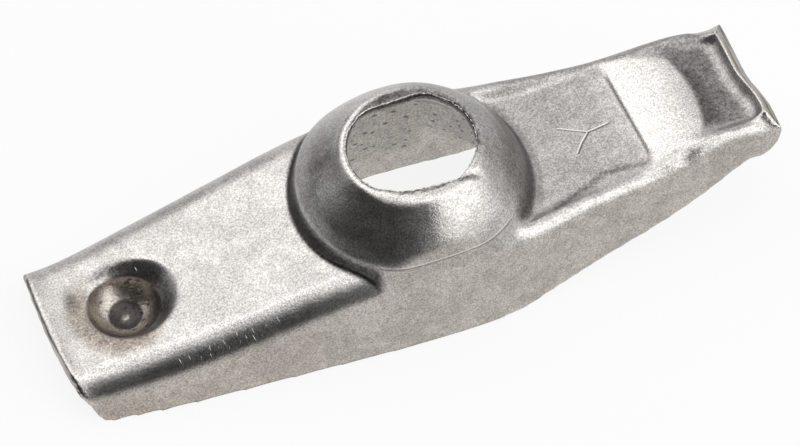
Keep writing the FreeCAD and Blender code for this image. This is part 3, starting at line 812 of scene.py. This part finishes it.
@dataclass
class SlotBurr:
    """The ragged burr round the stud slot's edge, laid along the edge of the skin."""

    centre: Spot = (0.4, 0.1)
    count: int = 120
    depth: float = 0.12
    thickness: float = 0.085
    raggedness: float = 0.55
    spacing: float = 0.16
    rim_height: float = 18.45
    rim_reach: float = 6.6
    rim_tilt: float = math.radians(2.0)
    step_out: float = 0.22
    stand_off: float = 0.02
    sunk: float = 0.05
    ceiling: float = 18.56
    seed: int = 7
    finish: ScratchFinish = field(default_factory=ScratchFinish)

    def path(self, skin: BVHTree) -> list[Vector]:
        """Points along the slot's edge, found by looking outwards from the slot's middle.

        Args:
            skin: The arm's skin, in metres.

        Returns:
            The points in order, in metres.
        """
        result = []
        for index in range(self.count):
            turn = math.tau * index / self.count
            out = Vector((math.cos(turn), math.sin(turn), 0.0))
            top = (self.rim_height + self.rim_reach * math.cos(turn) * math.tan(self.rim_tilt)) * MM
            start = Vector((self.centre[0] * MM, self.centre[1] * MM, top - self.depth * MM))
            wall = skin.ray_cast(start, out)[0]
            if wall is None:
                continue
            over = wall + out * self.step_out * MM + Vector((0.0, 0.0, 2.0 * MM))
            above = skin.ray_cast(over, Vector((0.0, 0.0, -1.0)))[0]
            height = min(above.z if above else top, self.ceiling * MM) - self.sunk * MM
            result.append(Vector((wall.x, wall.y, height)) + out * self.stand_off * MM)
        return result

    def build(self, arm: bpy.types.Object) -> bpy.types.Object:
        """Grow the burr along its path on the arm's skin."""
        points = self.path(tree_of(arm.data))
        curve = bpy.data.curves.new("slot_edge", "CURVE")
        curve.dimensions = "3D"
        spline = curve.splines.new("POLY")
        spline.points.add(len(points) - 1)
        for place, point in zip(points, spline.points):
            point.co = (*place, 1.0)
        spline.use_cyclic_u = True
        grow = Growth("slot_burr", {"Thickness": self.thickness * MM, "Raggedness": self.raggedness,
                                    "Spacing": self.spacing * MM, "Seed": self.seed})
        even = grow.node("GeometryNodeResampleCurve", {"Curve": grow.given("Geometry"),
                                                       "Length": grow.given("Spacing")}, mode="LENGTH")
        shift = grow.node("FunctionNodeRandomValue",
                          {0: (-1.0,) * 3, 1: (1.0,) * 3, "Seed": grow.given("Seed")},
                          data_type="FLOAT_VECTOR")
        reach = grow.maths("MULTIPLY", grow.given("Thickness"), grow.given("Raggedness"))
        offset = grow.node("ShaderNodeVectorMath", {0: shift.outputs[0], "Scale": reach}, operation="SCALE")
        moved = grow.node("GeometryNodeSetPosition",
                          {"Geometry": even.outputs[0], "Offset": offset.outputs[0]})
        width = grow.spread(0.45, 1.35)
        sized = grow.node("GeometryNodeSetCurveRadius", {"Curve": moved.outputs[0], "Radius": width})
        round_bar = grow.node("GeometryNodeCurvePrimitiveCircle",
                              {"Resolution": 6, "Radius": grow.given("Thickness")})
        bead = grow.node("GeometryNodeCurveToMesh", {"Curve": sized.outputs[0], "Scale": width,
                                                     "Profile Curve": round_bar.outputs[0]})
        grow.finish(bead.outputs[0], self.finish.build())
        return grow.bake("slot_burr", curve)


@dataclass
class BendTicks:
    """Short bright ticks that tumbling left on the front bend of the low arm."""

    length: float = 0.34
    width: float = 0.035
    apart: float = 0.75
    density: float = 2.4
    seed: int = 11
    finish: ScratchFinish = ScratchFinish("bright_ticks", (0.85, 0.83, 0.80), 0.45)

    def build(self, arm: bpy.types.Object) -> bpy.types.Object:
        """Scatter the ticks over the marked stretch of the skin."""
        grow = Growth("bend_ticks", {"Length": self.length * MM, "Width": self.width * MM,
                                     "Apart": self.apart * MM, "Density": self.density / (MM * MM),
                                     "Seed": self.seed})
        marked = grow.node("GeometryNodeInputNamedAttribute", {"Name": Mask.TICKS.value}, data_type="FLOAT")
        chosen = grow.node("FunctionNodeCompare", {0: marked.outputs[0], 1: 0.5}, data_type="FLOAT",
                           operation="GREATER_THAN")
        spots = grow.node("GeometryNodeDistributePointsOnFaces",
                          {"Mesh": grow.given("Geometry"), "Selection": chosen.outputs[0],
                           "Distance Min": grow.given("Apart"), "Density Max": grow.given("Density"),
                           "Seed": grow.given("Seed")}, distribute_method="POISSON")
        tick = grow.node("GeometryNodeMeshIcoSphere", {"Radius": 1.0, "Subdivisions": 1})
        flat = grow.node("ShaderNodeCombineXYZ", {0: grow.given("Width"), 1: grow.given("Length"),
                                                  2: grow.maths("MULTIPLY", grow.given("Width"), 0.6)})
        thin = grow.node("GeometryNodeTransform", {"Geometry": tick.outputs[0], "Scale": flat.outputs[0]})
        size = grow.spread(0.5, 1.3)
        lean = grow.spread(-0.35, 0.35)
        level = grow.node("FunctionNodeAlignRotationToVector", {"Rotation": spots.outputs["Rotation"],
                                                                "Vector": (0.0, -0.6, -0.5)},
                          axis="Y", pivot_axis="Z")
        twist = grow.node("ShaderNodeCombineXYZ", {0: 0.0, 1: 0.0, 2: lean})
        turned = grow.node("FunctionNodeRotateRotation",
                           {"Rotation": level.outputs[0], "Rotate By": twist.outputs[0]},
                           rotation_space="LOCAL")
        laid = grow.node("GeometryNodeInstanceOnPoints", {"Points": spots.outputs["Points"],
                                                          "Instance": thin.outputs[0],
                                                          "Rotation": turned.outputs[0], "Scale": size})
        grow.finish(laid.outputs[0], self.finish.build())
        return grow.bake("bend_ticks", arm.data.copy())


@dataclass
class Studio:
    """Floor, soft lamps, world and the camera at the photograph's angle."""

    azimuth: float = 20.5
    elevation: float = 54.0
    distance: float = 520.0
    pixels_per_mm: float = 9.5
    target: Point = (0.0, 0.0, 13.6)
    target_pixel: Spot = (409.0, 173.0)
    frame_size: tuple[int, int] = (800, 446)
    sensor_width: float = 36.0
    floor_white: float = 0.88
    floor_tone: float = 0.92
    floor_half_width: float = 4000.0
    floor_drop: float = 0.05
    card_steps: int = 24
    world_light: float = 0.60

    def camera(self) -> bpy.types.Object:
        """Set up the camera."""
        turn, rise = math.radians(self.azimuth), math.radians(self.elevation)
        ahead = Vector((math.sin(turn) * math.cos(rise), math.cos(turn) * math.cos(rise), -math.sin(rise)))
        right = Vector((math.cos(turn), -math.sin(turn), 0.0))
        upward = right.cross(ahead)
        wide, tall = self.frame_size
        across = (self.target_pixel[0] - wide / 2) / self.pixels_per_mm
        above = (tall / 2 - self.target_pixel[1]) / self.pixels_per_mm
        target = Vector(self.target)
        place = target - ahead * self.distance
        aim = target - right * across - upward * above
        data = bpy.data.cameras.new("camera")
        data.sensor_width = self.sensor_width
        data.lens = self.pixels_per_mm * self.distance * data.sensor_width / wide
        data.clip_start = 0.01
        item = link_object("camera", data)
        item.location = place * MM
        item.rotation_euler = (aim - place).to_track_quat("-Z", "Y").to_euler()
        bpy.context.scene.camera = item
        return item

    def lamp(self, name: str, bearing: float, rise: float, reach: float,
             size: Spot, light: float) -> bpy.types.Object:
        """Hang a soft box that faces the arm.

        Args:
            name: The lamp's name.
            bearing: Direction in degrees, from +X towards +Y.
            rise: Elevation in degrees.
            reach: Distance in millimetres.
            size: Width and height in millimetres.
            light: Its brightness, where 1 is white.

        Returns:
            The lamp.
        """
        place = direction(bearing, rise) * reach
        data = bpy.data.lights.new(name, "AREA")
        data.shape = "RECTANGLE"
        data.size, data.size_y = size[0] * MM, size[1] * MM
        data.energy = light * math.pi * data.size * data.size_y
        item = link_object(name, data)
        item.location = place * MM
        item.rotation_euler = (Vector(self.target) - place).to_track_quat("-Z", "Y").to_euler()
        return item

    def floor(self) -> bpy.types.Object:
        """Lay the pale floor."""
        reach = self.floor_half_width * MM
        corners = [(-reach, -reach, 0.0), (reach, -reach, 0.0), (reach, reach, 0.0), (-reach, reach, 0.0)]
        mesh = mesh_from_arrays("floor", np.array(corners), [(0, 1, 2, 3)])
        make = Shader("pale_floor")
        white = make.node("ShaderNodeEmission", {"Color": WHITE, "Strength": 1.0})
        share = make.maths("MULTIPLY", make.seen(), self.floor_white)
        mix = make.node("ShaderNodeMixShader", {0: share, 1: make.matt(self.floor_tone).outputs[0],
                                                2: white.outputs[0]})
        mesh.materials.append(make.surface(mix))
        item = link_object("floor", mesh)
        item.location.z = -self.floor_drop * MM
        return item

    def card(self, name: str, turn: Spot, rise: Spot, reach: float, tone: float) -> bpy.types.Object:
        """Stand a curved grey card round the arm, which only reflections see.

        Args:
            name: The card's name.
            turn: First and last bearing in degrees, from +X towards +Y.
            rise: Lowest and highest elevation in degrees.
            reach: Distance from the arm in millimetres.
            tone: Grey of the card.

        Returns:
            The card.
        """
        steps = self.card_steps
        points, faces = [], []
        for up in np.linspace(rise[0], rise[1], steps + 1):
            for bearing in np.linspace(turn[0], turn[1], steps + 1):
                points.append(tuple(direction(bearing, up) * reach * MM))
        for row in range(steps):
            for column in range(steps):
                first = row * (steps + 1) + column
                faces.append((first, first + 1, first + steps + 2, first + steps + 1))
        mesh = mesh_from_arrays(name, np.array(points), faces)
        make = Shader(name)
        mesh.materials.append(make.surface(make.matt(tone)))
        item = link_object(name, mesh)
        item.visible_camera = False
        item.visible_shadow = False
        return item

    def world(self) -> None:
        """Give the world a soft light and a white background."""
        world = bpy.data.worlds.new("studio")
        bpy.context.scene.world = world
        world.use_nodes = True
        make = Nodes(world.node_tree)
        make.tree.nodes.clear()
        light = make.node("ShaderNodeBackground", {"Color": WHITE, "Strength": self.world_light})
        back = make.node("ShaderNodeBackground", {"Color": WHITE, "Strength": 1.0})
        mix = make.node("ShaderNodeMixShader", {0: make.seen(), 1: light.outputs[0], 2: back.outputs[0]})
        make.node("ShaderNodeOutputWorld", {"Surface": mix.outputs[0]})

    def build(self) -> None:
        """Set up the whole studio."""
        bpy.context.scene.view_settings.view_transform = "Standard"
        self.camera()
        self.floor()
        self.world()
        self.card("dark_card", (-82.0, -200.0), (3.0, 58.0), 420.0, 0.06)
        self.card("grey_card", (100.0, 158.0), (0.5, 14.0), 430.0, 0.20)
        self.lamp("back_box", 118.0, 56.0, 480.0, (420.0, 330.0), 1.06)
        self.lamp("front_box", -48.0, 42.0, 480.0, (520.0, 460.0), 1.38)
        self.lamp("top_box", -60.0, 84.0, 500.0, (260.0, 200.0), 1.30)
        LOG.info("studio ready")


def main() -> None:
    """Build every piece."""
    logging.basicConfig(level=logging.INFO, format="%(name)s %(message)s")
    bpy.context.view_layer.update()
    arm = PressedArm().build()
    SlotBurr().build(arm)
    BendTicks().build(arm)
    Studio().build()
    bpy.context.view_layer.update()


if __name__ == "__main__":
    main()
